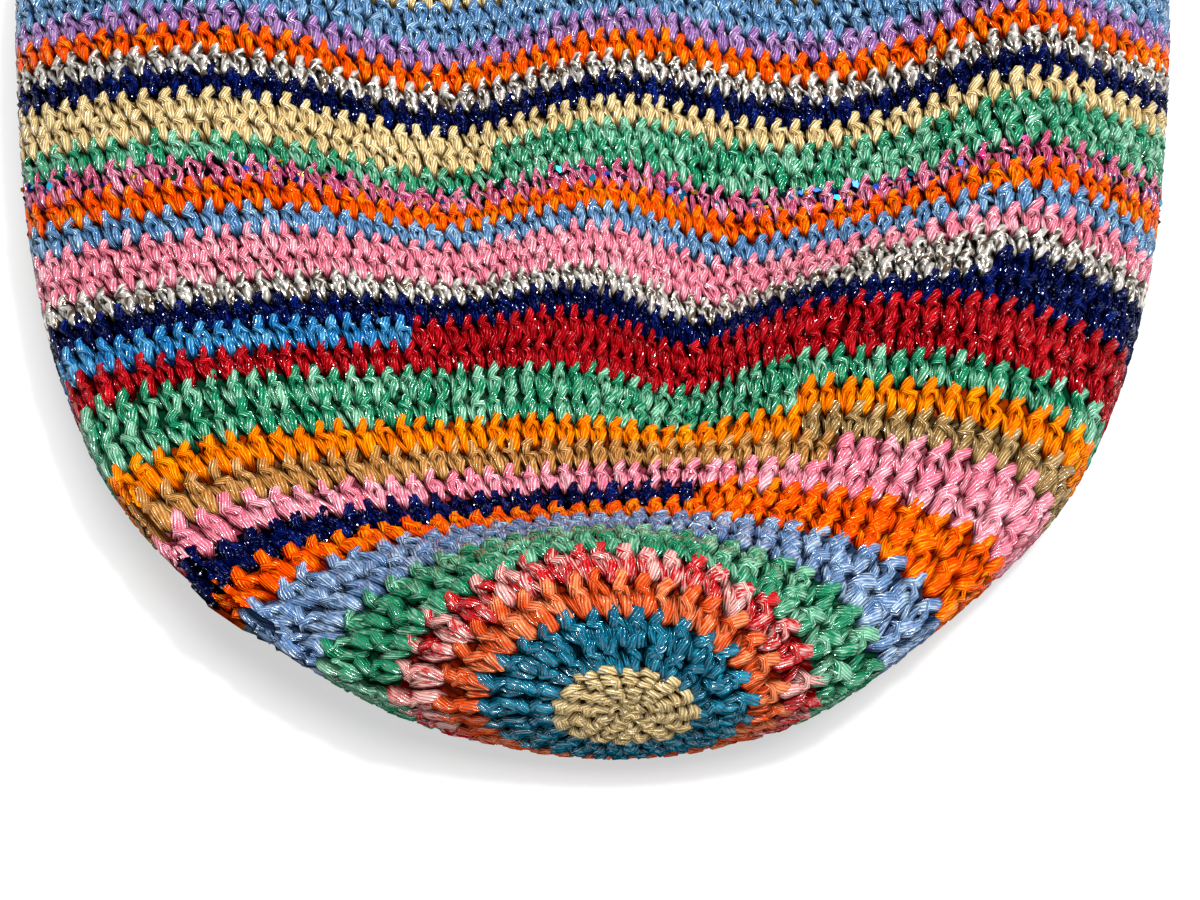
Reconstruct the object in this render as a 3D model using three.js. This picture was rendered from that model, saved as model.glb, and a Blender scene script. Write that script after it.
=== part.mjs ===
// Crocheted tote bag lying on its back, base towards -Y and open mouth towards +Y.
// Millimetres, +Z up. The origin is on the floor, midway between the base and the rim.

import * as THREE from "three";

// Driving dimensions of the body
const BODY_WIDTH = 310;
const BODY_LENGTH = 304;
const BODY_HEIGHT = 68;
const WALL = 5;
const ROUNDS = 54;
const BASE_SHIFT = 8.5;
const BACK_ROUNDING = 0.65;

// Driving dimensions of the handles
const HANDLE_WIDTH = 20;
const HANDLE_THICKNESS = 10;
const HANDLE_END_WIDTH = 24;
const HANDLE_SPREAD = 120;
const HANDLE_LEAD = 14;
const HANDLE_FLATTENED_LENGTH = 30;
const HANDLE_SETTLE = 4;
const BACK_HANDLE_REACH = 140;
const BACK_HANDLE_KNEE = 76;
const FRONT_HANDLE_REACH = 132;
const FRONT_HANDLE_KNEE = 71;
const SEAM_CLEARANCE = 0.3;

// Fineness of the facets
const LOOP_FACETS = 72;
const LOOP_SAMPLES = 360;
const BASE_STEP = 1.5;
const BASE_ROUNDS = 21;
const WALL_STEP = 3;
const HANDLE_STEPS = 44;
const HANDLE_SIDES = 12;

// The slack shape, as stations of a loft from the base centre to the rim: the round of crochet, then
// the half width in percent of half the body's width, then y and z of the side, of the front and of
// the back, in percent of the body's length and height.
const STATIONS = [
  [0, 0, 0.7, 55, 0.7, 55, 0.7, 55],
  [3, 10.5, 0.6, 54, 1.9, 77, 0.2, 35],
  [5, 19.5, 1, 52, 5.1, 91, 0.7, 17],
  [7, 30.5, 2.2, 50, 9.9, 98, 2.8, 5],
  [9, 41, 5, 48, 13.8, 86, 7, 0],
  [11, 51.5, 9.2, 47, 16.8, 77, 10.9, 0],
  [13, 61, 13.8, 46, 20, 73, 14.5, 0],
  [16, 73.5, 21.3, 46, 26, 77, 20.4, 0],
  [20, 84, 32.5, 44, 33.2, 90, 28.3, 0],
  [24, 90, 42, 43, 40.5, 89, 36.5, 0],
  [30, 96, 57.2, 41, 52.3, 95.5, 49, 0],
  [37, 100, 72.4, 40, 67, 100, 63.5, 0],
  [54, 100, 100, 37, 100, 82, 100, 0],
];

// Soft folds of the front wall, each running from its lower to its upper round. Places are in percent
// of half the body's width, depths and spreads in millimetres.
const FOLDS = [
  { place: [-18, -71], depth: [-15, 0], spread: [75, 65], rounds: [16, 28], starts: 6 },
  { place: [-19, -24.5], depth: [-8, -21], spread: [20, 35], rounds: [20, 30], starts: 16 },
  { place: [14, 33.5], depth: [-16, -17], spread: [22, 37], rounds: [18, 29], starts: 13 },
  { place: [57, 70], depth: [3, 10], spread: [15, 22], rounds: [18, 25], starts: 14 },
];
const FOLD_FADE_ROUNDS = 7;
const FOLD_SIDE_FADE = 0.5;

// Values worked out from the driving dimensions
const HALF_WIDTH = BODY_WIDTH / 2;
const RIM_Y = BODY_LENGTH / 2;
const FLAT_FROM_ROUND = STATIONS.find((station) => station[0] > 0 && station[7] === 0)[0];
const BASE_SHIFT_ROUNDS = 13;
const BACK_SQUARE_ROUNDS = [4, 15];

function smoothStep(from, to, x) {
  const t = Math.min(Math.max((x - from) / (to - from), 0), 1);
  return t * t * (3 - 2 * t);
}

function mix(pair, share) {
  return pair[0] + (pair[1] - pair[0]) * share;
}

// Slope of a column of the stations at one station, from its neighbours
function stationSlope(index, column) {
  const rise = (i) => (STATIONS[i + 1][column] - STATIONS[i][column]) / gap(i);
  const gap = (i) => STATIONS[i + 1][0] - STATIONS[i][0];
  if (index === 0) return rise(0);
  if (index === STATIONS.length - 1) return rise(index - 1);
  const before = gap(index - 1);
  const after = gap(index);
  return (rise(index - 1) * after + rise(index) * before) / (before + after);
}

// A column of the stations, joined smoothly over the rounds
function stationValue(round, column) {
  let i = STATIONS.findLastIndex((station) => station[0] <= round);
  i = Math.min(i, STATIONS.length - 2);
  const span = STATIONS[i + 1][0] - STATIONS[i][0];
  const u = (round - STATIONS[i][0]) / span;
  const v = 1 - u;
  const ends = (1 + 2 * u) * v * v * STATIONS[i][column] + u * u * (3 - 2 * u) * STATIONS[i + 1][column];
  const slopes = v * stationSlope(i, column) - u * stationSlope(i + 1, column);
  return ends + u * v * span * slopes;
}

// Height that the folds add to the front wall
function foldHeight(x, round) {
  let height = 0;
  for (const fold of FOLDS) {
    const share = smoothStep(fold.rounds[0], fold.rounds[1], round);
    const place = mix(fold.place, share) * HALF_WIDTH / 100;
    const offset = (x - place) / mix(fold.spread, share);
    const strength = smoothStep(fold.starts, fold.starts + FOLD_FADE_ROUNDS, round);
    height += mix(fold.depth, share) * Math.exp(-offset * offset) * strength;
  }
  return height;
}

// A point of the outer surface: angle 0 is the +X side, 90 degrees the front, -90 the back
function bodyPoint(angle, round) {
  const width = stationValue(round, 1) * HALF_WIDTH / 100;
  const alongBody = (column) => (stationValue(round, column) / 100 - 0.5) * BODY_LENGTH;
  const upBody = (column) => stationValue(round, column) * BODY_HEIGHT / 100;
  const shift = BASE_SHIFT * (1 - smoothStep(0, BASE_SHIFT_ROUNDS, round));
  const x = width * Math.cos(angle);
  const lift = Math.abs(Math.sin(angle));
  const side = { y: alongBody(2), z: upBody(3) };
  if (Math.sin(angle) >= 0) {
    const inward = 1 - Math.min(lift / FOLD_SIDE_FADE, 1);
    const y = side.y + (alongBody(4) - side.y) * lift;
    const z = side.z + (upBody(5) - side.z) * lift + foldHeight(x, round) * (1 - inward * inward);
    return new THREE.Vector3(x + shift, y, z);
  }
  const square = smoothStep(...BACK_SQUARE_ROUNDS, round);
  const inward = 1 - Math.min(lift / BACK_ROUNDING, 1);
  const share = (1 - square) * lift + square * (1 - inward * inward);
  const floorZ = round >= FLAT_FROM_ROUND ? 0 : upBody(7);
  const y = side.y + (alongBody(6) - side.y) * share;
  return new THREE.Vector3(x + shift, y, side.z + (floorZ - side.z) * share);
}

// One round of crochet as points spaced evenly along it, starting at the middle of the back
function roundLoop(round, count) {
  const angleAt = (i) => -Math.PI / 2 + (2 * Math.PI * i) / LOOP_SAMPLES;
  const lengths = [0];
  let last = bodyPoint(angleAt(0), round);
  for (let i = 1; i <= LOOP_SAMPLES; i++) {
    const next = bodyPoint(angleAt(i), round);
    lengths.push(lengths[i - 1] + next.distanceTo(last));
    last = next;
  }
  const points = [];
  let i = 0;
  for (let k = 0; k < count; k++) {
    const target = (lengths[LOOP_SAMPLES] * k) / count;
    while (lengths[i + 1] < target) i++;
    const share = (target - lengths[i]) / (lengths[i + 1] - lengths[i]);
    points.push(bodyPoint(angleAt(i + share), round));
  }
  return points;
}

// Rounds at which the body's facets meet
function facetRounds() {
  const rounds = [];
  for (let round = BASE_STEP; round < BASE_ROUNDS; round += BASE_STEP) rounds.push(round);
  for (let round = BASE_ROUNDS; round < ROUNDS; round += WALL_STEP) rounds.push(round);
  rounds.push(ROUNDS);
  return rounds;
}

function meshGeometry(points, triangles) {
  const geometry = new THREE.BufferGeometry();
  const positions = points.flatMap((point) => [point.x, point.y, point.z]);
  geometry.setAttribute("position", new THREE.Float32BufferAttribute(positions, 3));
  geometry.setIndex(triangles);
  geometry.computeVertexNormals();
  return geometry;
}

// Triangles of a dome: its pole, then rings of LOOP_FACETS points each
function domeTriangles(ringCount) {
  const triangles = [];
  const vertex = (ring, k) => 1 + ring * LOOP_FACETS + (k % LOOP_FACETS);
  for (let k = 0; k < LOOP_FACETS; k++) {
    triangles.push(0, vertex(0, k), vertex(0, k + 1));
    for (let ring = 0; ring + 1 < ringCount; ring++) {
      triangles.push(vertex(ring, k), vertex(ring + 1, k), vertex(ring + 1, k + 1));
      triangles.push(vertex(ring, k), vertex(ring + 1, k + 1), vertex(ring, k + 1));
    }
  }
  return triangles;
}

// The crocheted bag: an open shell of even thickness, with a flat rim
function bagBody() {
  const rounds = facetRounds();
  const outer = [bodyPoint(0, 0), ...rounds.flatMap((round) => roundLoop(round, LOOP_FACETS))];
  const dome = domeTriangles(rounds.length);
  const normals = meshGeometry(outer, dome).getAttribute("normal");
  const rimStart = outer.length - LOOP_FACETS;
  const inner = outer.map((point, i) => {
    const inset = point.clone().addScaledVector(new THREE.Vector3().fromBufferAttribute(normals, i), -WALL);
    if (i >= rimStart) inset.y = RIM_Y;
    return inset;
  });
  const triangles = [...dome];
  for (let i = 0; i < dome.length; i += 3) {
    triangles.push(dome[i] + outer.length, dome[i + 2] + outer.length, dome[i + 1] + outer.length);
  }
  for (let k = 0; k < LOOP_FACETS; k++) {
    const here = rimStart + k;
    const next = rimStart + ((k + 1) % LOOP_FACETS);
    triangles.push(here, here + outer.length, next + outer.length);
    triangles.push(here, next + outer.length, next);
  }
  return meshGeometry([...outer, ...inner], triangles);
}

// The rim's height above a place on the front wall, and the direction that it runs there
function frontRim(x) {
  const angle = Math.acos(x / HALF_WIDTH);
  const small = 0.01;
  const point = bodyPoint(angle, ROUNDS);
  const along = bodyPoint(angle - small, ROUNDS).sub(bodyPoint(angle + small, ROUNDS));
  return { z: point.z, along: along.normalize() };
}

// Line along a handle's underside: out of the rim, down to what it rests on and round its far end
function handleLine(knee, reach, rightZ, leftZ, kneeZ, restZ) {
  const attach = HANDLE_SPREAD / 2;
  const half = (sign, attachZ) => [
    new THREE.Vector3(sign * attach, RIM_Y + SEAM_CLEARANCE, attachZ),
    new THREE.Vector3(sign * attach, RIM_Y + HANDLE_LEAD, attachZ),
    new THREE.Vector3(sign * knee, RIM_Y + 0.5 * reach, kneeZ),
    new THREE.Vector3(sign * 0.8 * knee, RIM_Y + 0.83 * reach, restZ),
  ];
  const far = new THREE.Vector3(0, RIM_Y + reach, restZ);
  return new THREE.CatmullRomCurve3([...half(1, rightZ), far, ...half(-1, leftZ).reverse()]);
}

// A handle: a crocheted tube with an oval section above its line, pressed flat where it is sewn on
function handle(line, rightAlong, leftAlong) {
  const up = new THREE.Vector3(0, 0, 1);
  const length = line.getLength();
  const centres = [];
  const sections = [];
  for (let step = 0; step <= HANDLE_STEPS; step++) {
    const u = step / HANDLE_STEPS;
    const tangent = line.getTangentAt(u);
    const fromEnd = Math.min(u, 1 - u) * length;
    const opened = smoothStep(0, HANDLE_FLATTENED_LENGTH, fromEnd);
    const sewnAlong = u < 0.5 ? rightAlong : leftAlong.clone().negate();
    const across = new THREE.Vector3().crossVectors(tangent, up).normalize();
    across.lerp(sewnAlong, 1 - opened);
    across.addScaledVector(tangent, -across.dot(tangent)).normalize();
    const over = new THREE.Vector3().crossVectors(across, tangent);
    const halfWidth = mix([HANDLE_END_WIDTH, HANDLE_WIDTH], opened) / 2;
    const halfThickness = mix([WALL, HANDLE_THICKNESS], opened) / 2;
    const centre = line.getPointAt(u).addScaledVector(over, halfThickness);
    centres.push(centre);
    for (let k = 0; k < HANDLE_SIDES; k++) {
      const angle = (2 * Math.PI * k) / HANDLE_SIDES;
      const point = centre.clone().addScaledVector(across, halfWidth * Math.cos(angle));
      sections.push(point.addScaledVector(over, halfThickness * Math.sin(angle)));
    }
  }
  const points = [centres[0], ...sections, centres.at(-1)];
  for (const end of [...points.slice(0, HANDLE_SIDES + 1), ...points.slice(-HANDLE_SIDES - 1)]) {
    end.y = RIM_Y + SEAM_CLEARANCE;
  }
  return meshGeometry(points, tubeTriangles(points.length - 1));
}

// Triangles of a tube with both ends closed: first pole, rings of HANDLE_SIDES points, last pole
function tubeTriangles(lastPole) {
  const triangles = [];
  const vertex = (ring, k) => 1 + ring * HANDLE_SIDES + (k % HANDLE_SIDES);
  for (let k = 0; k < HANDLE_SIDES; k++) {
    triangles.push(0, vertex(0, k), vertex(0, k + 1));
    for (let ring = 0; ring < HANDLE_STEPS; ring++) {
      triangles.push(vertex(ring, k), vertex(ring + 1, k), vertex(ring + 1, k + 1));
      triangles.push(vertex(ring, k), vertex(ring + 1, k + 1), vertex(ring, k + 1));
    }
    triangles.push(lastPole, vertex(HANDLE_STEPS, k + 1), vertex(HANDLE_STEPS, k));
  }
  return triangles;
}

function backHandle() {
  const line = handleLine(BACK_HANDLE_KNEE, BACK_HANDLE_REACH, 0, 0, 0, 0);
  const along = new THREE.Vector3(1, 0, 0);
  return handle(line, along, along);
}

// The front handle drops from the raised front of the mouth and lies on the back handle
function frontHandle() {
  const right = frontRim(HANDLE_SPREAD / 2);
  const left = frontRim(-HANDLE_SPREAD / 2);
  const restZ = HANDLE_THICKNESS + SEAM_CLEARANCE;
  const kneeZ = restZ + HANDLE_SETTLE;
  const line = handleLine(
    FRONT_HANDLE_KNEE, FRONT_HANDLE_REACH, right.z - WALL, left.z - WALL, kneeZ, restZ,
  );
  return handle(line, right.along, left.along);
}

function yarn(colour) {
  return new THREE.MeshStandardMaterial({ color: colour, roughness: 0.55, metalness: 0 });
}

function piece(name, geometry, colour) {
  const mesh = new THREE.Mesh(geometry, yarn(colour));
  mesh.name = name;
  return mesh;
}

const bag = new THREE.Group();
bag.add(piece("bag_body", bagBody(), 0xd9772f));
bag.add(piece("front_handle", frontHandle(), 0xbe874b));
bag.add(piece("back_handle", backHandle(), 0xbe874b));

export default bag;
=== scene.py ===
"""Crocheted tote bag lying on its back: every stitch of its rounds, laid over the CAD model's shape."""

import math

import bpy
import numpy as np
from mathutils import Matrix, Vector


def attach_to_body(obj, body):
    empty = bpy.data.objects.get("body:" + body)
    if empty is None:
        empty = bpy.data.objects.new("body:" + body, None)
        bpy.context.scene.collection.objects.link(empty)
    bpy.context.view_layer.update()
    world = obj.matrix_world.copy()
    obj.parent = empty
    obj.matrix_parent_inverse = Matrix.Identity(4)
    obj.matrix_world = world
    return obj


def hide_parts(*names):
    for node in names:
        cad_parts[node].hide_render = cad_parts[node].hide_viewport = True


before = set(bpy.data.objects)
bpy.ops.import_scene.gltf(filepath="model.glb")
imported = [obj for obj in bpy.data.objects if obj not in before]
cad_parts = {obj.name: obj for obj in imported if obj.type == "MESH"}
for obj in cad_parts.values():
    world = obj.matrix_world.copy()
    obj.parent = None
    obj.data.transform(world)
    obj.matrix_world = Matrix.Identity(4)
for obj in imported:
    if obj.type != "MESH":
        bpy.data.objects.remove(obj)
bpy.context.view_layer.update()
random = np.random.default_rng(7)

# Shape, in millimetres
MM = 0.001
SMALLEST = 1e-9
BODY_WIDTH, BODY_LENGTH, BODY_HEIGHT = 310, 304, 68
HALF_WIDTH = BODY_WIDTH / 2
RIM_Y = BODY_LENGTH / 2
WALL = 5
ROUNDS = 54
BASE_SHIFT = 8.5
BASE_SHIFT_ROUNDS = 13
BACK_ROUNDING = 0.65
BACK_SQUARE_ROUNDS = (4, 15)
FLAT_FROM_ROUND = 9
FOLD_FADE_ROUNDS = 7
FOLD_SIDE_FADE = 0.5
# Stitches are narrower in the middle, where the cloth is gathered, than at the sides
MIDDLE_STITCH, SIDE_STITCH = 0.82, 1.27

# Grid of the body's surface
ROWS_PER_ROUND = 4
COLUMNS = 720
FINE_COLUMNS = 1440
CROWDING_POWER = 1.5
RIM_STEP = 0.5

# Round, half width, then y and z of the side, the front and the back, in per cent, as in the CAD model
STATIONS = np.array([
    [0, 0, 0.7, 55, 0.7, 55, 0.7, 55],
    [3, 10.5, 0.6, 54, 1.9, 77, 0.2, 35],
    [5, 19.5, 1, 52, 5.1, 91, 0.7, 17],
    [7, 30.5, 2.2, 50, 9.9, 98, 2.8, 5],
    [9, 41, 5, 48, 13.8, 86, 7, 0],
    [11, 51.5, 9.2, 47, 16.8, 77, 10.9, 0],
    [13, 61, 13.8, 46, 20, 73, 14.5, 0],
    [16, 73.5, 21.3, 46, 26, 77, 20.4, 0],
    [20, 84, 32.5, 44, 33.2, 90, 28.3, 0],
    [24, 90, 42, 43, 40.5, 89, 36.5, 0],
    [30, 96, 57.2, 41, 52.3, 95.5, 49, 0],
    [37, 100, 72.4, 40, 67, 100, 63.5, 0],
    [54, 100, 100, 37, 100, 82, 100, 0],
], float)

# Place, depth, spread and rounds of each fold, from its lower to its upper end
FOLDS = [
    dict(place=(-18, -71), depth=(-15, 0), spread=(75, 65), rounds=(16, 28), starts=6),
    dict(place=(-19, -24.5), depth=(-8, -21), spread=(20, 35), rounds=(20, 30), starts=16),
    dict(place=(14, 33.5), depth=(-16, -17), spread=(22, 37), rounds=(18, 29), starts=13),
    dict(place=(57, 70), depth=(3, 10), spread=(15, 22), rounds=(18, 25), starts=14),
    # A sharp crease in the cloth, which is too shallow for the CAD model
    dict(place=(15, 20), depth=(-6, -6), spread=(13, 17), rounds=(18, 29), starts=13, ends=26),
]


def smooth_step(start, end, x):
    t = np.clip((x - start) / (end - start), 0, 1)
    return t * t * (3 - 2 * t)


def mix(pair, share):
    return pair[0] + (pair[1] - pair[0]) * share


def station_value(rounds, column):
    """A column of the stations, joined smoothly over the rounds."""
    x, y = STATIONS[:, 0], STATIONS[:, column]
    gap = np.diff(x)
    rise = np.diff(y) / gap
    inner = (rise[:-1] * gap[1:] + rise[1:] * gap[:-1]) / (gap[:-1] + gap[1:])
    slope = np.concatenate([rise[:1], inner, rise[-1:]])
    i = np.clip(np.searchsorted(x, rounds, side="right") - 1, 0, len(gap) - 1)
    u = (rounds - x[i]) / gap[i]
    v = 1 - u
    ends = (1 + 2 * u) * v * v * y[i] + u * u * (3 - 2 * u) * y[i + 1]
    return ends + u * v * gap[i] * (v * slope[i] - u * slope[i + 1])


def fold_height(x, rounds):
    """How far the folds lift or sink the front wall."""
    height = np.zeros_like(x)
    for fold in FOLDS:
        share = smooth_step(*fold["rounds"], rounds)
        offset = (x - mix(fold["place"], share) * HALF_WIDTH / 100) / mix(fold["spread"], share)
        strength = smooth_step(fold["starts"], fold["starts"] + FOLD_FADE_ROUNDS, rounds)
        ends = fold.get("ends", ROUNDS)
        strength = strength * (1 - smooth_step(ends, ends + FOLD_FADE_ROUNDS, rounds))
        height += mix(fold["depth"], share) * np.exp(-offset * offset) * strength
    return height


def body_points(angle, rounds):
    """Points of the outer surface: angle 0 is the +X side, 90 degrees the front, -90 the back."""
    width = station_value(rounds, 1) * HALF_WIDTH / 100
    along = lambda column: (station_value(rounds, column) / 100 - 0.5) * BODY_LENGTH
    up = lambda column: station_value(rounds, column) * BODY_HEIGHT / 100
    x = width * np.cos(angle)
    lift = np.abs(np.sin(angle))
    side_y, side_z = along(2), up(3)
    fade = 1 - (1 - np.minimum(lift / FOLD_SIDE_FADE, 1)) ** 2
    front_y = side_y + (along(4) - side_y) * lift
    front_z = side_z + (up(5) - side_z) * lift + fold_height(x, rounds) * fade
    square = smooth_step(*BACK_SQUARE_ROUNDS, rounds)
    share = (1 - square) * lift + square * (1 - (1 - np.minimum(lift / BACK_ROUNDING, 1)) ** 2)
    back_y = side_y + (along(6) - side_y) * share
    back_z = side_z + (np.where(rounds >= FLAT_FROM_ROUND, 0, up(7)) - side_z) * share
    front = np.sin(angle) >= 0
    shift = BASE_SHIFT * (1 - smooth_step(0, BASE_SHIFT_ROUNDS, rounds))
    return np.stack([x + shift, np.where(front, front_y, back_y), np.where(front, front_z, back_z)], -1)


class Surface:
    """A surface as a grid of points: rows up the work, columns once round it. Read smoothly in between."""

    def __init__(self, points, rows):
        self.points = points
        self.rows = rows
        across = np.roll(points, -1, 1) - np.roll(points, 1, 1)
        upward = np.gradient(points, axis=0)
        normal = np.cross(upward, across)
        length = np.linalg.norm(normal, axis=2, keepdims=True)
        self.normals = normal / np.maximum(length, SMALLEST)
        thin = length[..., 0].min(1) < 1e-6
        for i in np.flatnonzero(thin):
            near = i + 1 if i == 0 else i - 1
            self.normals[i] = self.normals[near].mean(0) / np.linalg.norm(self.normals[near].mean(0))

    def at(self, turn, row):
        """(points, normals) at a share of a turn and a row."""
        step = self.rows[1] - self.rows[0]
        i = np.clip((row - self.rows[0]) / step, 0, len(self.rows) - 1.001)
        j = (turn % 1) * self.points.shape[1]
        i0, j0 = i.astype(int), j.astype(int) % self.points.shape[1]
        fi, fj = (i - i0)[..., None], (j - np.floor(j))[..., None]
        j1 = (j0 + 1) % self.points.shape[1]

        def read(grid):
            low = grid[i0, j0] * (1 - fj) + grid[i0, j1] * fj
            high = grid[i0 + 1, j0] * (1 - fj) + grid[i0 + 1, j1] * fj
            return low * (1 - fi) + high * fi

        normal = read(self.normals)
        return read(self.points), normal / np.linalg.norm(normal, axis=-1, keepdims=True)


def body_surface():
    """The body's outer surface, its columns spaced along each round from the middle of the back."""
    rows = np.linspace(0, ROUNDS + 1, (ROUNDS + 1) * ROWS_PER_ROUND + 1)
    fine = np.linspace(-math.pi / 2, 1.5 * math.pi, FINE_COLUMNS + 1)
    shares = np.arange(COLUMNS) / COLUMNS
    widening = (SIDE_STITCH - MIDDLE_STITCH) * np.abs(np.cos(fine[1:])) ** CROWDING_POWER
    crowding = 1 / (MIDDLE_STITCH + widening)
    grid = []
    for row in rows:
        inside = min(row, ROUNDS)
        loop = body_points(fine, np.full_like(fine, inside))
        steps = np.linalg.norm(np.diff(loop, axis=0), axis=1) * crowding
        run = np.concatenate([[0], np.cumsum(steps)])
        if run[-1] > 0:
            angle = np.interp(shares * run[-1], run, fine)
        else:
            angle = np.interp(shares, np.linspace(0, 1, len(fine)), fine)
        points = body_points(angle, np.full_like(angle, inside))
        if row > ROUNDS:
            below = body_points(angle, np.full_like(angle, ROUNDS - RIM_STEP))
            points = points + (points - below) / RIM_STEP * (row - ROUNDS)
        grid.append(points)
    return Surface(np.array(grid), rows)


# Stitches
# One stitch as strands of yarn. Each point is a place across the stitch and up it, in stitch widths and
# rows, then the depth of the strand's middle below the surface and its radius, in millimetres.
THIN_LEG = [
    (-0.56, 0.66, 1.7, 0.64), (-0.40, 0.36, 1.15, 0.84), (-0.14, 0.02, 1.25, 0.80), (0.10, -0.26, 2.2, 0.45),
]
MIDDLE_LEG = [
    (-0.25, 0.64, 1.4, 0.64), (-0.15, 0.36, 1.15, 0.76), (0.0, 0.04, 1.30, 0.72), (0.15, -0.25, 2.2, 0.42),
]
FAT_LEG = [
    (0.14, 0.62, 1.6, 0.85), (0.16, 0.36, 1.15, 1.12), (0.19, 0.02, 1.20, 1.08), (0.22, -0.29, 2.1, 0.55),
]
KNOB = [
    (-0.18, 0.46, 1.8, 1.00), (-0.10, 0.80, 1.25, 1.26), (0.02, 1.06, 1.20, 1.22), (0.10, 1.22, 1.6, 0.80),
]
CROSS = [
    (-0.44, 0.60, 2.0, 0.55), (-0.17, 0.75, 0.74, 0.74), (0.16, 0.62, 0.72, 0.76), (0.42, 0.34, 1.6, 0.55),
]
# At the centre of the base the yarn runs round the ring
LOW_ARC = [
    (-0.62, 0.24, 1.7, 0.65), (-0.22, 0.44, 1.0, 1.00), (0.22, 0.44, 1.0, 1.00), (0.62, 0.20, 1.7, 0.65),
]
HIGH_ARC = [
    (-0.55, 0.72, 1.7, 0.70), (-0.15, 0.92, 1.1, 1.10), (0.28, 0.90, 1.1, 1.10), (0.62, 0.66, 1.7, 0.70),
]
# Each kind of stitch: its strands and how many sides each has
STITCH = [(THIN_LEG, 4), (MIDDLE_LEG, 4), (FAT_LEG, 5), (KNOB, 5), (CROSS, 4)]
UPPER_STITCH = [(THIN_LEG, 4), (FAT_LEG, 5), (KNOB, 4), (CROSS, 4)]
CENTRE_STITCH = [(LOW_ARC, 5), (HIGH_ARC, 5), (FAT_LEG, 5), (CROSS, 4)]
LEFT_LEG = [(-0.36, 0.86, 2.0, 0.75), (-0.18, 0.32, 1.35, 1.35), (0.06, -0.20, 2.5, 0.5)]
RIGHT_LEG = [(0.40, 0.90, 2.2, 0.70), (0.26, 0.36, 1.6, 1.2), (0.12, -0.16, 2.7, 0.5)]
PLAIN_STITCH = [(LEFT_LEG, 4), (RIGHT_LEG, 4)]
HANDLE_STITCH = [(THIN_LEG, 4), (FAT_LEG, 5), (KNOB, 4)]
# The wrong side of a stitch, and the two halves of a chain along the rim
PURL = [(-0.52, 0.60, 4.2, 0.6), (0.0, 0.42, 4.0, 1.0), (0.52, 0.60, 4.2, 0.6)]
RIM_CHAIN = [
    [(-0.55, 0.80, 1.9, 0.6), (-0.15, 0.82, 1.0, 0.95), (0.25, 0.80, 1.3, 0.9), (0.60, 0.74, 2.4, 0.5)],
    [(-0.55, 0.80, 3.0, 0.6), (-0.15, 0.82, 3.9, 0.95), (0.25, 0.80, 3.6, 0.9), (0.60, 0.74, 2.6, 0.5)],
]
RIM_STITCH = [(THIN_LEG, 5), (FAT_LEG, 6), (CROSS, 5)] + [(half, 5) for half in RIM_CHAIN]
SEWN = [(0.0, -0.75, 0.6, 0.5), (0.05, -0.35, -0.1, 0.75), (0.0, 0.30, -0.1, 0.75), (-0.05, 0.75, 0.6, 0.5)]
SEWN_SIDES, PURL_SIDES = 5, 4
# The strand's cross-section, its ends in radii, and how much strands differ
FLATNESS = 1.1
FILAMENT_WIDTH = 0.72
END_LENGTH = 0.8
RADIUS_VARIATION = 0.05
JITTER = 0.055
STITCH_SHADE = 0.4
# Two values of each point of a piece: the tone of its strand, which differs at random, and its depth in the
# work, which sets the painted shade
MARKS = ("shade", "deep")


def tube_faces(rings, sides):
    """Triangles of a closed tube, from the point at its first end to the point at its last."""
    corner = lambda r, k: 1 + r * sides + k % sides
    faces = []
    for k in range(sides):
        faces.append((0, corner(0, k + 1), corner(0, k)))
        faces.append((1 + rings * sides, corner(rings - 1, k), corner(rings - 1, k + 1)))
        for r in range(rings - 1):
            faces.append((corner(r, k), corner(r, k + 1), corner(r + 1, k + 1)))
            faces.append((corner(r, k), corner(r + 1, k + 1), corner(r + 1, k)))
    return np.array(faces)


def repeat_faces(faces, each, count):
    """The same triangles for each of several copies with a number of points each."""
    return (faces[None] + each * np.arange(count)[:, None, None]).reshape(-1, 3)


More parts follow.
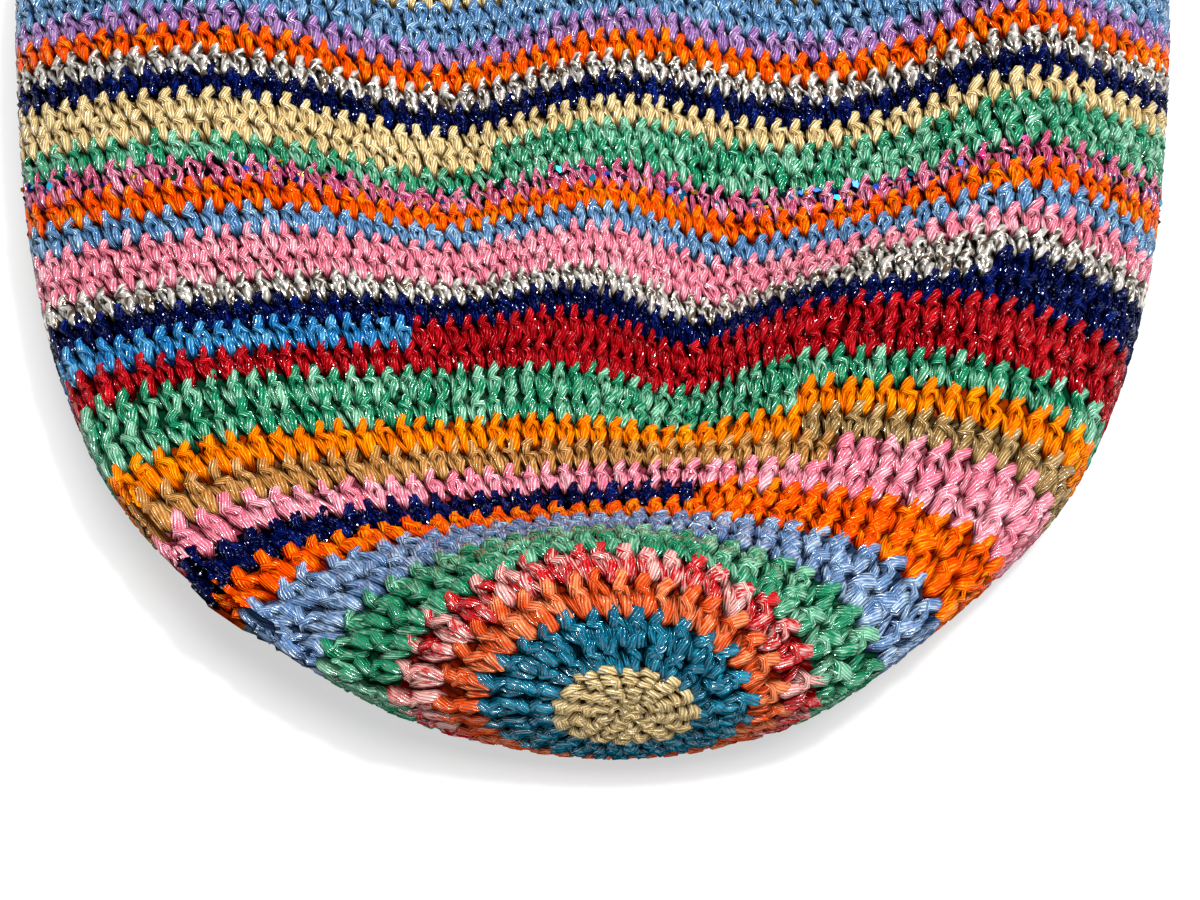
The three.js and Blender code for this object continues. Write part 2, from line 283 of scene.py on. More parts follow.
def strand_mesh(surface, turn, row, width, size, strand, sides, shade, inside=False):
    """Closed tapering tubes, one per stitch, as (points, triangles, uv, marks)."""
    line = np.array(strand)
    count, rings = len(turn), len(line)
    u = line[:, 0] + random.normal(0, JITTER, (count, rings)) + random.normal(0, JITTER, (count, 1))
    v = line[:, 1] + random.normal(0, JITTER, (count, rings)) + random.normal(0, JITTER, (count, 1))
    radius = line[:, 3] * size[:, None] * (1 + random.normal(0, RADIUS_VARIATION, (count, 1)))
    depth = np.where(line[:, 2] < 0, line[:, 2], np.maximum(line[:, 2] * size[:, None], radius))
    places, normals = surface.at(turn[:, None] - u * width[:, None], row[:, None] + v)
    middle = places - normals * depth[..., None]
    along = np.gradient(middle, axis=1)
    along /= np.maximum(np.linalg.norm(along, axis=2, keepdims=True), SMALLEST)
    side = np.cross(along, normals)
    side /= np.maximum(np.linalg.norm(side, axis=2, keepdims=True), SMALLEST)
    over = np.cross(side, along)
    phi = 2 * math.pi * np.arange(sides) / sides
    ring = np.cos(phi)[:, None] * side[:, :, None] * FLATNESS
    ring = ring + np.sin(phi)[:, None] * over[:, :, None] / FLATNESS
    hoops = middle[:, :, None] + ring * radius[..., None, None]
    first = middle[:, 0] - along[:, 0] * radius[:, 0, None] * END_LENGTH
    last = middle[:, -1] + along[:, -1] * radius[:, -1, None] * END_LENGTH
    points = np.concatenate([first[:, None], hoops.reshape(count, -1, 3), last[:, None]], 1)
    steps = np.linalg.norm(np.diff(middle, axis=1), axis=2)
    run = np.concatenate([np.zeros((count, 1)), np.cumsum(steps, 1)], 1)
    shade = STITCH_SHADE * shade + (1 - STITCH_SHADE) * random.random(count)
    filaments = np.round(2 * math.pi * line[:, 3].max() * np.maximum(size, 1) / FILAMENT_WIDTH)
    turn_uv = np.arange(sides) / sides * filaments[:, None, None] * np.ones((1, rings, 1))
    uv = np.stack([turn_uv, np.broadcast_to(run[..., None], turn_uv.shape)], -1).reshape(count, -1, 2)
    uv = np.concatenate([uv[:, :1], uv, uv[:, -1:]], 1)
    each = points.shape[1]
    triangles = repeat_faces(tube_faces(rings, sides), each, count)
    # Depth of each point below the surface, which sets its painted shade; it is divided by the size of large
    # stitches
    below = (depth[..., None] - np.sin(phi) * radius[..., None]).reshape(count, -1)
    below = np.concatenate([depth[:, :1], below, depth[:, -1:]], 1) / np.maximum(size, 1)[:, None]
    if inside:
        below = WALL - below
    marks = np.stack([np.repeat(shade, each), below.ravel()], -1)
    return points.reshape(-1, 3), triangles, uv.reshape(-1, 2), marks


def join(parts):
    """Several (points, triangles, uv, marks) as one."""
    start = np.cumsum([0] + [len(p[0]) for p in parts[:-1]])
    return (
        np.concatenate([p[0] for p in parts]),
        np.concatenate([p[1] + s for p, s in zip(parts, start)]),
        np.concatenate([p[2] for p in parts]),
        np.concatenate([p[3] for p in parts]),
    )


def mesh_object(name, part, materials, material_index=None):
    """A smooth-shaded mesh object from (points, triangles, uv, marks), given in millimetres."""
    points, triangles, uv, marks = part
    mesh = bpy.data.meshes.new(name)
    mesh.vertices.add(len(points))
    mesh.vertices.foreach_set("co", (points * MM).astype(np.float32).ravel())
    mesh.loops.add(triangles.size)
    mesh.loops.foreach_set("vertex_index", triangles.astype(np.int32).ravel())
    mesh.polygons.add(len(triangles))
    mesh.polygons.foreach_set("loop_start", np.arange(0, triangles.size, 3, dtype=np.int32))
    mesh.update(calc_edges=True)
    mesh.polygons.foreach_set("use_smooth", np.ones(len(triangles), bool))
    layer = mesh.uv_layers.new(name="strand")
    layer.data.foreach_set("uv", uv[triangles.ravel()].astype(np.float32).ravel())
    for column, mark in enumerate(MARKS):
        attribute = mesh.attributes.new(mark, "FLOAT", "POINT")
        attribute.data.foreach_set("value", marks[:, column].astype(np.float32))
    for material in materials:
        mesh.materials.append(material)
    if material_index is not None:
        mesh.polygons.foreach_set("material_index", material_index.astype(np.int32))
    mesh.validate()
    made = bpy.data.objects.new(name, mesh)
    bpy.context.scene.collection.objects.link(made)
    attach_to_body(made, "root")
    return made


# Yarns
# The yarn of each round, from the base centre; (left, right, place) where it changes along the front
STRIPES = {
    1: "cream", 2: "cream", 3: "cream", 4: "teal", 5: "teal", 6: "coral", 7: "candy", 8: "green", 9: "green",
    10: "periwinkle", 11: "periwinkle", 12: "orange", 13: ("navy", "orange", 17), 14: "pink",
    15: ("tan", "pink", 37.5), 16: ("amber", "khaki", 32.5), 17: ("green", "amber", 30.5), 18: "green",
    19: "red", 20: ("turquoise", "red", -26.5), 21: "navy", 22: ("silver", "navy", 62),
    23: ("pink", "silver", 39), 24: "pink", 25: "blue", 26: "orange", 27: "rose", 28: "green",
    29: ("cream", "green", -15.5), 30: "cream", 31: "navy", 32: "silver", 33: "orange", 34: "purple",
    35: "blue", 36: "blue", 37: "cream", 38: "cream", 39: "coral", 40: "pink", 41: "teal", 42: "teal",
    43: "tan", 44: "orange", 45: "red", 46: "navy", 47: "green", 48: "green", 49: "cream", 50: "amber",
    51: "purple", 52: "blue", 53: "navy", 54: "tan",
}

# Main and second colour (sRGB), share of the second colour, roughness, specular level, share of glitter
YARNS = {
    "cream": ((220, 187, 124), (248, 223, 168), 0.45, 0.18, 0.6, 0),
    "teal": ((0, 92, 120), (30, 148, 178), 0.35, 0.14, 0.9, 0),
    "coral": ((226, 78, 24), (246, 138, 88), 0.40, 0.17, 0.6, 0),
    "candy": ((205, 20, 26), (246, 180, 172), 0.48, 0.15, 0.7, 0),
    "green": ((18, 135, 92), (135, 200, 165), 0.42, 0.14, 1.0, 0),
    "periwinkle": ((94, 130, 178), (174, 198, 224), 0.40, 0.16, 0.7, 0),
    "orange": ((250, 74, 0), (255, 138, 5), 0.40, 0.16, 0.7, 0),
    "navy": ((1, 5, 44), (6, 28, 108), 0.30, 0.16, 0.2, 0.06),
    "pink": ((242, 122, 146), (255, 184, 196), 0.42, 0.16, 0.7, 0),
    "rose": ((196, 72, 114), (246, 168, 192), 0.40, 0.14, 0.9, 0),
    "tan": ((178, 118, 55), (215, 162, 98), 0.40, 0.2, 0.5, 0),
    "amber": ((255, 116, 0), (255, 158, 5), 0.40, 0.18, 0.4, 0),
    "khaki": ((152, 116, 64), (194, 162, 106), 0.42, 0.18, 0.6, 0),
    "red": ((152, 3, 12), (208, 24, 34), 0.36, 0.16, 0.6, 0.02),
    "turquoise": ((16, 112, 178), (86, 170, 214), 0.40, 0.16, 0.7, 0),
    # Silver's second colour is painted dark reflection and shade between its bright facets
    "silver": ((247, 241, 232), (116, 100, 84), 0.5, 0.18, 0.5, 0),
    "blue": ((78, 128, 178), (148, 186, 216), 0.40, 0.15, 0.9, 0),
    "purple": ((142, 98, 165), (188, 152, 200), 0.40, 0.18, 0.6, 0),
}
METALLIC = {"silver"}
HANDLE_COLOUR = "tan"
# How much the strands of a yarn differ from each other
PATCHES = {"candy": 0.5, "green": 0.45, "coral": 0.4, "pink": 0.3}
PLAIN_PATCHES = 0.24
GLITTER_WHITE = 0.55
GLITTER_PER_METRE = 2400
GLITTER_METALLIC = 0.9
# Streaks and small knots along the filaments: how fast they change, and how far apart two strands are
TWIST_PER_MM = 0.35
STREAK_PER_MM = 0.45
STREAK_EDGES = (-0.08, 0.14)
STREAK_SHIFT = 0.3
STREAK_HEIGHT = 0.4
STRAND_APART = 50.0
KNOTS_ACROSS, KNOTS_PER_MM, KNOTS_APART = 1.2, 1.5, 70.0
KNOT_HEIGHT = 0.4
# Painted shade: the yarn is darkened in the grooves between the filaments and deep between the stitches
GROOVE_POWER = 0.75
GROOVE_LIGHT = 0.6
SHADOW_DEPTHS = (0.05, 1.35)
SHADOW = 0.04
PAINTED_SHADE_TONE = (0.1, 0.1, 0.1, 1.0)
# Gloss, and how far up a surface faces to have it
GLOSS_FACING = (0.05, 0.65)
GLINT_WHITE = 0.08
COAT = 1.0
LESS_COAT = {"orange": 0.05, "amber": 0.05, "coral": 0.2, "tan": 0.35, "navy": 0.06, "red": 0.25}
COAT_ROUGHNESS = 0.10
COAT_IOR = 1.65
BUMP_STRENGTH = 0.9
FILAMENT_BUMP = 0.00027
# Folds of metal ribbon
FACET_SHARE = 0.5
FACETS_PER_MM = 0.3
FACET_EDGES = (0.46, 0.64)
FOIL_METALLIC = 0.65
FOIL_BUMP = 0.0012


def linear(colour):
    """An sRGB colour, 0 to 255, as a shader's linear one."""
    c = np.array(colour) / 255
    c = np.where(c <= 0.04045, c / 12.92, ((c + 0.055) / 1.055) ** 2.4)
    return (*c, 1.0)


def whitened(colour, share):
    """An sRGB colour mixed with a share of white, as a shader's linear one."""
    return linear(np.array(colour) * (1 - share) + 255 * share)


class Nodes:
    """Short ways to make the nodes of one material."""

    def __init__(self, name):
        self.material = bpy.data.materials.new(name)
        self.material.use_nodes = True
        self.tree = self.material.node_tree
        self.shader = self.tree.nodes["Principled BSDF"]

    def make(self, kind, **settings):
        node = self.tree.nodes.new(kind)
        for key, value in settings.items():
            setattr(node, key, value)
        return node

    def link(self, source, target):
        self.tree.links.new(source, target)

    def math(self, operation, a, b=0.0, c=0.0):
        node = self.make("ShaderNodeMath", operation=operation)
        for socket, value in zip(node.inputs, (a, b, c)):
            if isinstance(value, (int, float)):
                socket.default_value = value
            else:
                self.link(value, socket)
        return node.outputs[0]

    def mix_colour(self, share, a, b, blend="MIX"):
        node = self.make("ShaderNodeMix", data_type="RGBA", blend_type=blend)
        for socket, value in zip((node.inputs[0], node.inputs[6], node.inputs[7]), (share, a, b)):
            if isinstance(value, (int, float, tuple)):
                socket.default_value = value
            else:
                self.link(value, socket)
        return node.outputs[2]

    def noise(self, vector, detail):
        node = self.make("ShaderNodeTexNoise")
        node.inputs["Scale"].default_value = 1.0
        node.inputs["Detail"].default_value = detail
        self.link(vector, node.inputs["Vector"])
        return node.outputs[0]

    def smooth(self, value, low, high):
        node = self.make("ShaderNodeMapRange", interpolation_type="SMOOTHSTEP")
        self.link(value, node.inputs[0])
        node.inputs[1].default_value = low
        node.inputs[2].default_value = high
        return node.outputs[0]

    def strand(self):
        """Where a point is round its strand and along it, the strand's shade, and the point's depth."""
        split = self.make("ShaderNodeSeparateXYZ")
        self.link(self.make("ShaderNodeUVMap", uv_map="strand").outputs[0], split.inputs[0])
        marks = [self.make("ShaderNodeAttribute", attribute_name=mark).outputs["Fac"] for mark in MARKS]
        return split.outputs[0], split.outputs[1], *marks

    def place(self, *values):
        """A place in a texture from three values."""
        node = self.make("ShaderNodeCombineXYZ")
        for socket, value in zip(node.inputs, values):
            self.link(value, socket)
        return node.outputs[0]

    def bump(self, height, distance):
        """Gives the shader a bumpy surface, and returns its normal."""
        node = self.make("ShaderNodeBump")
        node.inputs["Strength"].default_value = BUMP_STRENGTH
        node.inputs["Distance"].default_value = distance
        self.link(height, node.inputs["Height"])
        self.link(node.outputs[0], self.shader.inputs["Normal"])
        return node.outputs[0]


def yarn_material(name):
    """Glossy yarn of fine filaments that run along each strand, with streaks of a second colour."""
    first, second, share, roughness, specular, glitter = YARNS[name]
    n = Nodes(f"yarn_{name}")
    inputs = n.shader.inputs
    turn, along, shade, deep = n.strand()
    spin = n.math("MULTIPLY_ADD", along, TWIST_PER_MM, turn)
    # Each filament's own tone: noise across the strand, drawn out along it
    drawn = n.math("MULTIPLY", along, STREAK_PER_MM)
    streak = n.noise(n.place(spin, drawn, n.math("MULTIPLY", shade, STRAND_APART)), 2.0)
    patches = PATCHES.get(name, PLAIN_PATCHES)
    tone = n.math("ADD", streak, n.math("MULTIPLY_ADD", shade, patches, -0.5 * patches))
    middle = 0.5 + STREAK_SHIFT * (0.5 - share)
    streaked = n.smooth(tone, *(middle + edge for edge in STREAK_EDGES))
    colour = n.mix_colour(streaked, linear(first), linear(second))
    # Painted shade: the colour is darkened in the grooves and down between the stitches, and deepened there
    # as if by light bounced between strands
    wave = n.math("ABSOLUTE", n.math("SINE", n.math("MULTIPLY", spin, math.pi)))
    lit = n.math("MULTIPLY_ADD", n.math("POWER", wave, GROOVE_POWER), 1 - GROOVE_LIGHT, GROOVE_LIGHT)
    shadow = n.smooth(deep, *SHADOW_DEPTHS)
    lit = n.math("MULTIPLY", lit, n.math("MULTIPLY_ADD", shadow, SHADOW - 1, 1.0))
    squared = n.mix_colour(1.0, colour, colour, "MULTIPLY")
    shaded = n.mix_colour(lit, n.mix_colour(1.0, squared, PAINTED_SHADE_TONE, "MULTIPLY"), colour)
    # Gloss shows only in the open: not deep in the work, and not on what faces the floor
    facing = n.make("ShaderNodeSeparateXYZ")
    n.link(n.make("ShaderNodeNewGeometry").outputs["Normal"], facing.inputs[0])
    upward = n.smooth(facing.outputs[2], *GLOSS_FACING)
    opened = n.math("MULTIPLY", n.math("SUBTRACT", 1.0, shadow), upward)
    n.link(n.math("MULTIPLY", opened, specular), inputs["Specular IOR Level"])
    n.link(n.math("MULTIPLY", opened, LESS_COAT.get(name, COAT)), inputs["Coat Weight"])
    inputs["Roughness"].default_value = roughness
    inputs["Coat Roughness"].default_value = COAT_ROUGHNESS
    inputs["Coat IOR"].default_value = COAT_IOR
    inputs["Specular Tint"].default_value = whitened(second, GLINT_WHITE)
    if glitter:
        cells = n.make("ShaderNodeTexVoronoi")
        cells.inputs["Scale"].default_value = GLITTER_PER_METRE
        n.link(n.make("ShaderNodeTexCoord").outputs["Object"], cells.inputs["Vector"])
        pick = n.make("ShaderNodeSeparateColor")
        n.link(cells.outputs["Color"], pick.inputs[0])
        speck = n.math("GREATER_THAN", pick.outputs[0], 1 - glitter)
        shaded = n.mix_colour(speck, shaded, whitened(second, GLITTER_WHITE))
        n.link(n.math("MULTIPLY", speck, GLITTER_METALLIC), inputs["Metallic"])
    n.link(shaded, inputs["Base Color"])
    # Small knots along the filaments break the glints up
    across = n.math("MULTIPLY", spin, KNOTS_ACROSS)
    drawn = n.math("MULTIPLY", along, KNOTS_PER_MM)
    knots = n.noise(n.place(across, drawn, n.math("MULTIPLY", shade, KNOTS_APART)), 1.0)
    height = n.math("MULTIPLY_ADD", streak, STREAK_HEIGHT, wave)
    height = n.math("MULTIPLY_ADD", knots, KNOT_HEIGHT, height)
    n.link(n.bump(height, FILAMENT_BUMP), inputs["Coat Normal"])
    return n.material


def foil_material(name):
    """Folded metal ribbon: broad bright facets with painted dark reflections between them, and painted shade
    deep in the work.
    """
    first, second, _, roughness, _, _ = YARNS[name]
    n = Nodes(f"yarn_{name}")
    inputs = n.shader.inputs
    turn, along, shade, deep = n.strand()
    spin = n.math("MULTIPLY_ADD", along, TWIST_PER_MM, n.math("MULTIPLY", turn, FACET_SHARE))
    drawn = n.math("MULTIPLY", along, FACETS_PER_MM)
    fold = n.noise(n.place(spin, drawn, n.math("MULTIPLY", shade, STRAND_APART)), 0.0)
    # Painted reflection: the dark second colour lies between the bright facets
    colour = n.mix_colour(n.smooth(fold, *FACET_EDGES), linear(first), linear(second))
    # Painted shade: darker deep between the stitches
    lit = n.math("MULTIPLY_ADD", n.smooth(deep, *SHADOW_DEPTHS), SHADOW - 1, 1.0)
    n.link(n.mix_colour(1.0, colour, lit, "MULTIPLY"), inputs["Base Color"])
    inputs["Metallic"].default_value = FOIL_METALLIC
    inputs["Roughness"].default_value = roughness
    n.bump(fold, FOIL_BUMP)
    return n.material


materials = {name: (foil_material if name in METALLIC else yarn_material)(name) for name in YARNS}


def yarn_of(round_number, x, front):
    """The yarn of each stitch of a round, from its place across the front or its side of the back."""
    stripe = STRIPES[round_number]
    if isinstance(stripe, str):
        return np.full(len(x), stripe, dtype=object)
    left, right, place = stripe
    edge = np.where(front, place * HALF_WIDTH / 100, 0)
    return np.where(x < edge, left, right).astype(object)


# The body
# Stitches of a round by its number and its square, up to a count that stays the same
INCREASES = (5.2, 0.075)
WALL_STITCHES = 133
# How far each round's stitches start beside those of the round below, in stitches past a half
LEAN = 0.12
# Width and height of a usual stitch, and how a stitch's yarn follows its own
STITCH_SIZE = (4.9, 5.6)
WIDTH_SHARE = 0.5
SIZE_LIMITS = (0.75, 1.6)
SIZE_VARIATION = 0.08
BASE_PLUMPNESS, PLUMP_ROUNDS = 1.25, (9, 18)
ROSE_YARN = 0.72
UNDERSIDE = -0.75
CENTRE_ROUNDS = 3
UPPER_FROM_ROUND = 38
INSIDE_FROM_ROUND = 30


def stitch_sizes(turns, number):
    """Size of each stitch of a round against a usual one, from the room that it has."""
    count = len(turns)
    at = lambda turn, row: body.at(turn, np.full(count, row))[0]
    step = 0.25 / count
    around = np.linalg.norm(at(turns + step, number - 0.5) - at(turns - step, number - 0.5), axis=1) * 2
    tall = np.linalg.norm(at(turns, number - 0.25) - at(turns, number - 0.75), axis=1) * 2
    size = (around / STITCH_SIZE[0]) ** WIDTH_SHARE * (tall / STITCH_SIZE[1]) ** (1 - WIDTH_SHARE)
    size = size * mix((BASE_PLUMPNESS, 1), smooth_step(*PLUMP_ROUNDS, number))
    return np.clip(size, *SIZE_LIMITS) * (1 + random.normal(0, SIZE_VARIATION, count))


def body_stitches():
    """Every stitch of the body: its place, width, size, yarn and shade, and whether it is underneath."""
    rounds = []
    for number in range(1, ROUNDS + 1):
        count = min(round(INCREASES[0] * number + INCREASES[1] * number ** 2), WALL_STITCHES)
        turns = (np.arange(count) + (0.5 + LEAN) * number % 1) / count
        places, normals = body.at(turns, np.full(count, number - 0.5))
        rounds.append({
            "turn": turns, "row": np.full(count, number - 1.0), "width": np.full(count, 1 / count),
            "size": stitch_sizes(turns, number), "under": normals[:, 2] < UNDERSIDE,
            "yarn": yarn_of(number, places[:, 0], normals[:, 2] > 0),
        })
    made = {key: np.concatenate([one[key] for one in rounds]) for key in rounds[0]}
    made["shade"] = random.random(len(made["turn"]))
    made["size"] = np.where(made["yarn"] == "rose", ROSE_YARN, 1) * made["size"]
    return made


body = body_surface()
stitches = body_stitches()
round_numbers = stitches["row"] + 1
last = round_numbers == ROUNDS
upper = (round_numbers >= UPPER_FROM_ROUND) & ~last
lower = ~upper & ~last
under = stitches["under"]
centre = round_numbers <= CENTRE_ROUNDS
KINDS = [
    (lower & ~under & ~centre, STITCH), (lower & ~under & centre, CENTRE_STITCH),
    (upper & ~under, UPPER_STITCH), (lower & under, PLAIN_STITCH), (upper & under, PLAIN_STITCH),
    (last, RIM_STITCH),
]


def worked(chosen, strand, sides, inside=False):
    """One strand of each chosen stitch of the body."""
    place_and_size = [stitches[key][chosen] for key in ("turn", "row", "width", "size")]
    return strand_mesh(body, *place_and_size, strand, sides, stitches["shade"][chosen], inside)


def stitches_of(name):
    """All strands of one yarn: its stitches of each kind, then their wrong side where the mouth shows it."""
    same = stitches["yarn"] == name
    parts = []
    for where, kind in KINDS:
        if (same & where).any():
            parts += [worked(same & where, strand, sides) for strand, sides in kind]
    shown_inside = same & (round_numbers >= INSIDE_FROM_ROUND)
    if shown_inside.any():
        parts.append(worked(shown_inside, PURL, PURL_SIDES, inside=True))
    return join(parts)


for name in YARNS:
    piece = mesh_object(f"stitches_{name}", stitches_of(name), [materials[name]])
    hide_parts("bag_body")

# Sequins that were worked in with the rose yarn
SEQUIN_ROUND = 27
SEQUIN_SHARE = 2.8
SEQUIN_RADIUS = (0.7, 1.35)
SEQUIN_CORNERS = 5
SEQUIN_SLIMNESS = 0.7
SEQUIN_THICKNESS = 0.25
SEQUIN_SCATTER = (-0.4, 0.4)
SEQUIN_ROWS = (-0.4, 0.5)
SEQUIN_LEAN = 0.35
SEQUIN_DEPTHS = (0.2, 0.8)
SEQUIN_METALLIC, SEQUIN_ROUGHNESS = 0.9, 0.25
# What faces down more than this would reach below the floor
ABOVE_FLOOR = -0.5
SEQUIN_COLOURS = [(25, 150, 185), (225, 165, 40), (160, 30, 95), (20, 110, 65), (10, 10, 30), (25, 60, 165)]


def sequin_material():
    """Coloured metal, in one of a few colours by the sequin's shade."""
    n = Nodes("sequin")
    ramp = n.make("ShaderNodeValToRGB")
    ramp.color_ramp.interpolation = "CONSTANT"
    while len(ramp.color_ramp.elements) < len(SEQUIN_COLOURS):
        ramp.color_ramp.elements.new(0.99)
    for k, (stop, colour) in enumerate(zip(ramp.color_ramp.elements, SEQUIN_COLOURS)):
        stop.position = k / len(SEQUIN_COLOURS)
        stop.color = linear(colour)
    n.link(n.make("ShaderNodeAttribute", attribute_name="shade").outputs["Fac"], ramp.inputs[0])
    n.link(ramp.outputs[0], n.shader.inputs["Base Color"])
    n.shader.inputs["Metallic"].default_value = SEQUIN_METALLIC
    n.shader.inputs["Roughness"].default_value = SEQUIN_ROUGHNESS
    return n.material


def sequin_faces():
    """Triangles of a flat disc: its rim, its top and its underside."""
    faces = []
    for k in range(SEQUIN_CORNERS):
        after, below = (k + 1) % SEQUIN_CORNERS, k + SEQUIN_CORNERS
        faces += [(k, below, after), (after, below, after + SEQUIN_CORNERS)]
        if 0 < k < SEQUIN_CORNERS - 1:
            faces += [(0, k, k + 1), (SEQUIN_CORNERS, below + 1, below)]
    return np.array(faces)


def sequins():
    """Small discs that lean every way, between the stitches of their round."""
    count = round(WALL_STITCHES * SEQUIN_SHARE)
    turn = (np.arange(count) + random.uniform(*SEQUIN_SCATTER, count)) / count
    places, normals = body.at(turn, SEQUIN_ROUND - 0.5 + random.uniform(*SEQUIN_ROWS, count))
    shown = normals[:, 2] > ABOVE_FLOOR
    places, normals = places[shown], normals[shown]
    count = len(places)
    lean = normals + random.normal(0, SEQUIN_LEAN, (count, 3))
    lean /= np.linalg.norm(lean, axis=1, keepdims=True)
    middle = places - normals * random.uniform(*SEQUIN_DEPTHS, (count, 1))
    side = np.cross(lean, random.normal(0, 1, (count, 3)))
    side /= np.linalg.norm(side, axis=1, keepdims=True)
    other = SEQUIN_SLIMNESS * np.cross(lean, side)
    radius = random.uniform(*SEQUIN_RADIUS, (count, 1, 1))
    phi = 2 * math.pi * np.arange(SEQUIN_CORNERS) / SEQUIN_CORNERS
    ring = (np.cos(phi)[:, None] * side[:, None] + np.sin(phi)[:, None] * other[:, None]) * radius
    half = lean[:, None] * SEQUIN_THICKNESS / 2
    points = np.concatenate([middle[:, None] + ring + half, middle[:, None] + ring - half], 1)
    each = points.shape[1]
    triangles = repeat_faces(sequin_faces(), each, count)
    marks = np.stack([np.repeat(random.random(count), each), np.zeros(each * count)], -1)
    part = points.reshape(-1, 3), triangles, np.zeros((each * count, 2)), marks
    made = mesh_object("sequins", part, [sequin_material()])
    made.data.polygons.foreach_set("use_smooth", np.zeros(len(triangles), bool))
    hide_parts("bag_body")
    return made


sequins()

# The web of yarn behind the stitches, which closes the gaps between them
BACKING_DEPTHS = (2.5, WALL - 0.2)
BACKING_COLUMNS = 144
# Tone of the web, the depth marks of its outer and inner face, which set how dark its painted shade is, and
# the height of a round on it
BACKING_SHADE, BACKING_MARKS = 0.3, (1.2, 0.8)
ROUND_HEIGHT = 6
# Behind the rose round the web takes the navy yarn: a dark sheet that paints the shade in its gaps
PAINTED_SHADE_WEB = {"rose": "navy"}


def backing():
    rows = np.arange(ROUNDS + 1.0)
    across, count = BACKING_COLUMNS, len(rows) * BACKING_COLUMNS
    turns = np.arange(across) / across
    points, normals = body.at(np.tile(turns, (len(rows), 1)), np.repeat(rows[:, None], across, 1))
    points = np.concatenate([(points - normals * depth).reshape(-1, 3) for depth in BACKING_DEPTHS])
    corner = lambda r, k: r * across + k % across
    names = list(YARNS)
    faces, stripe = [], []
    for r in range(ROUNDS):
        middle, normal = body.at(turns + 0.5 / across, np.full(across, r + 0.5))
        yarn = yarn_of(r + 1, middle[:, 0], normal[:, 2] > 0)
        for k in range(across):
            a, b, c, d = corner(r, k), corner(r, k + 1), corner(r + 1, k + 1), corner(r + 1, k)
            outer, inner = [(a, b, c), (a, c, d)], [(a, c, b), (a, d, c)]
            faces += outer + [tuple(i + count for i in face) for face in inner]
            stripe += [names.index(PAINTED_SHADE_WEB.get(yarn[k], yarn[k]))] * 4
    for k in range(across):
        a, b = corner(ROUNDS, k), corner(ROUNDS, k + 1)
        faces += [(a, b, b + count), (a, b + count, a + count)]
        stripe += [names.index(STRIPES[ROUNDS])] * 2
    around = np.arange(count) % across / across * WALL_STITCHES
    uv = np.stack([np.tile(around, 2), np.tile(np.repeat(rows, across) * ROUND_HEIGHT, 2)], -1)
    marks = np.stack([np.full(2 * count, BACKING_SHADE), np.repeat(BACKING_MARKS, count)], -1)
    part = points, np.array(faces), uv, marks
    return mesh_object("backing", part, [materials[name] for name in names], np.array(stripe))


web = backing()
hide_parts("bag_body")

# The handles, in millimetres as in the CAD model
HANDLE_WIDTH, HANDLE_THICKNESS, HANDLE_END_WIDTH = 20, 10, 24
HANDLE_SPREAD = 120
HANDLE_LEAD = 14
HANDLE_FLATTENED_LENGTH = 30
HANDLE_SETTLE = 4
BACK_HANDLE_REACH, BACK_HANDLE_KNEE = 140, 76
FRONT_HANDLE_REACH, FRONT_HANDLE_KNEE = 132, 71
SEAM_CLEARANCE = 0.3
# Share of the reach at the knees and the shoulders, and how far in the shoulders are
KNEE_REACH, SHOULDER_REACH, SHOULDER_WIDTH = 0.5, 0.83, 0.8
CURVE_STEPS = 24
# Height of a round of stitches, stitches of a round and at each sewn end, and their yarn
HANDLE_ROUND = 5.6
HANDLE_STITCHES = 9
SEWING = 14
HANDLE_YARN = 0.85
HANDLE_COLUMNS = 36
# The core: how far in it lies, its greatest share of the thickness, its ends in rounds, and its marks; its
# great depth mark paints it dark as shade
CORE_DEPTH, CORE_SHARE, CORE_INSET = 2.6, 0.45, 0.3
CORE_SIDES = 16
CORE_SHADE, CORE_MARK = 0.4, 3.2


def handle_line(knee, reach, ends_z, knee_z, rest_z):
    """Close points along a handle's underside: a centripetal Catmull-Rom curve through its few places."""
    attach = HANDLE_SPREAD / 2
    half = lambda sign, z: [
        (sign * attach, RIM_Y + SEAM_CLEARANCE, z), (sign * attach, RIM_Y + HANDLE_LEAD, z),
        (sign * knee, RIM_Y + KNEE_REACH * reach, knee_z),
        (sign * SHOULDER_WIDTH * knee, RIM_Y + SHOULDER_REACH * reach, rest_z),
    ]
    right_z, left_z = ends_z
    places = np.array(half(1, right_z) + [(0, RIM_Y + reach, rest_z)] + half(-1, left_z)[::-1], float)
    places = np.concatenate([[2 * places[0] - places[1]], places, [2 * places[-1] - places[-2]]])
    made = []
    for a, b, c, d in zip(places, places[1:], places[2:], places[3:]):
        t = np.cumsum([0] + [math.sqrt(np.linalg.norm(q - p)) for p, q in ((a, b), (b, c), (c, d))])
        for x in np.linspace(t[1], t[2], CURVE_STEPS, endpoint=False):
            lerp = lambda p, q, s, e: (p * (e - x) + q * (x - s)) / (e - s)
            ab, bc, cd = lerp(a, b, t[0], t[1]), lerp(b, c, t[1], t[2]), lerp(c, d, t[2], t[3])
            made.append(lerp(lerp(ab, bc, t[0], t[2]), lerp(bc, cd, t[1], t[3]), t[1], t[2]))
    return np.array(made + [places[-2]])


def front_rim(x):
    """Height of the front rim above x, and the direction it runs there."""
    angle = math.acos(x / HALF_WIDTH) + np.array([0.01, 0, -0.01])
    points = body_points(angle, np.full(3, float(ROUNDS)))
    along = points[2] - points[0]
    return points[1][2], along / np.linalg.norm(along)


